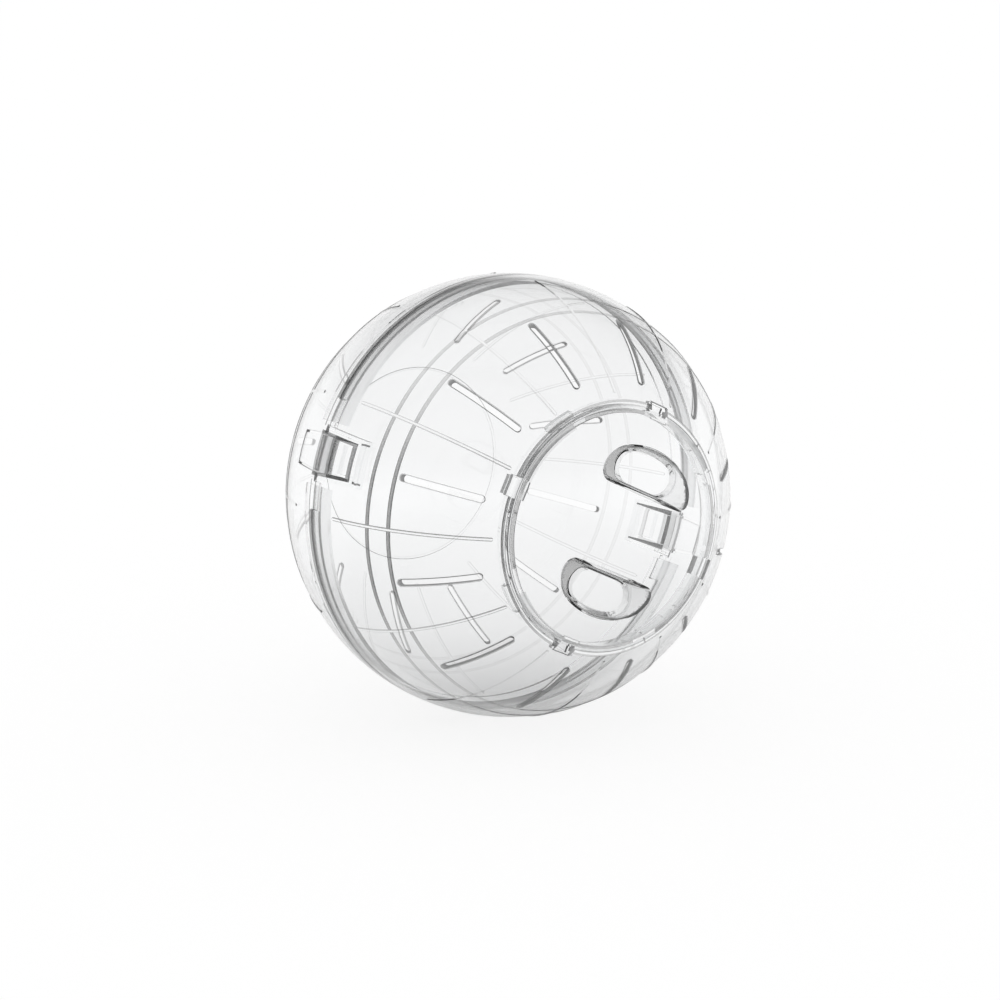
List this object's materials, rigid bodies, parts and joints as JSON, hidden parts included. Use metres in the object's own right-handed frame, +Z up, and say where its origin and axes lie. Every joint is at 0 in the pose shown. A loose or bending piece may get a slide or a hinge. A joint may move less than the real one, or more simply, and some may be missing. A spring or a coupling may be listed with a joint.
{
  "type": "hamster exercise ball",
  "caption": "Clear round exercise ball for a small pet: vented half shells snapped together by tongue latches, with a round turn-lock door that has recessed finger pockets.",
  "frame": {"origin": "centre of the ball", "axes": "-Y out through the middle of the door, +Y out through the closed pole, +Z up, and the seam in the XZ plane"},
  "size_m": [0.18, 0.18, 0.18],
  "materials": {
    "clear_shell": "clear, polished",
    "clear_door": "clear, polished",
    "clear_latch": "clear, polished"
  },
  "bodies": {
    "shell": {"door_half": "clear_shell", "plain_half": "clear_shell"},
    "door": {"door": "clear_door"},
    "left_latch": {"latch_tongue_left": "clear_latch"},
    "right_latch": {"latch_tongue_right": "clear_latch"}
  },
  "joints": [
    {"name": "door_lift_off", "type": "slide", "parent": "shell", "child": "door", "axis": [0, -1, 0], "range_m": [0, 0.08]},
    {"name": "left_latch_flex", "type": "hinge", "parent": "shell", "child": "left_latch", "pos_m": [-0.0837, 0.0175, 0.02559], "axis": [-0.2924, 0, -0.9563], "range_deg": [0, 4.5], "stiffness_Nm_per_rad": 2},
    {"name": "right_latch_flex", "type": "hinge", "parent": "shell", "child": "right_latch", "pos_m": [0.0837, -0.0175, -0.02559], "axis": [-0.2924, 0, -0.9563], "range_deg": [0, 4.5], "stiffness_Nm_per_rad": 2}
  ]
}
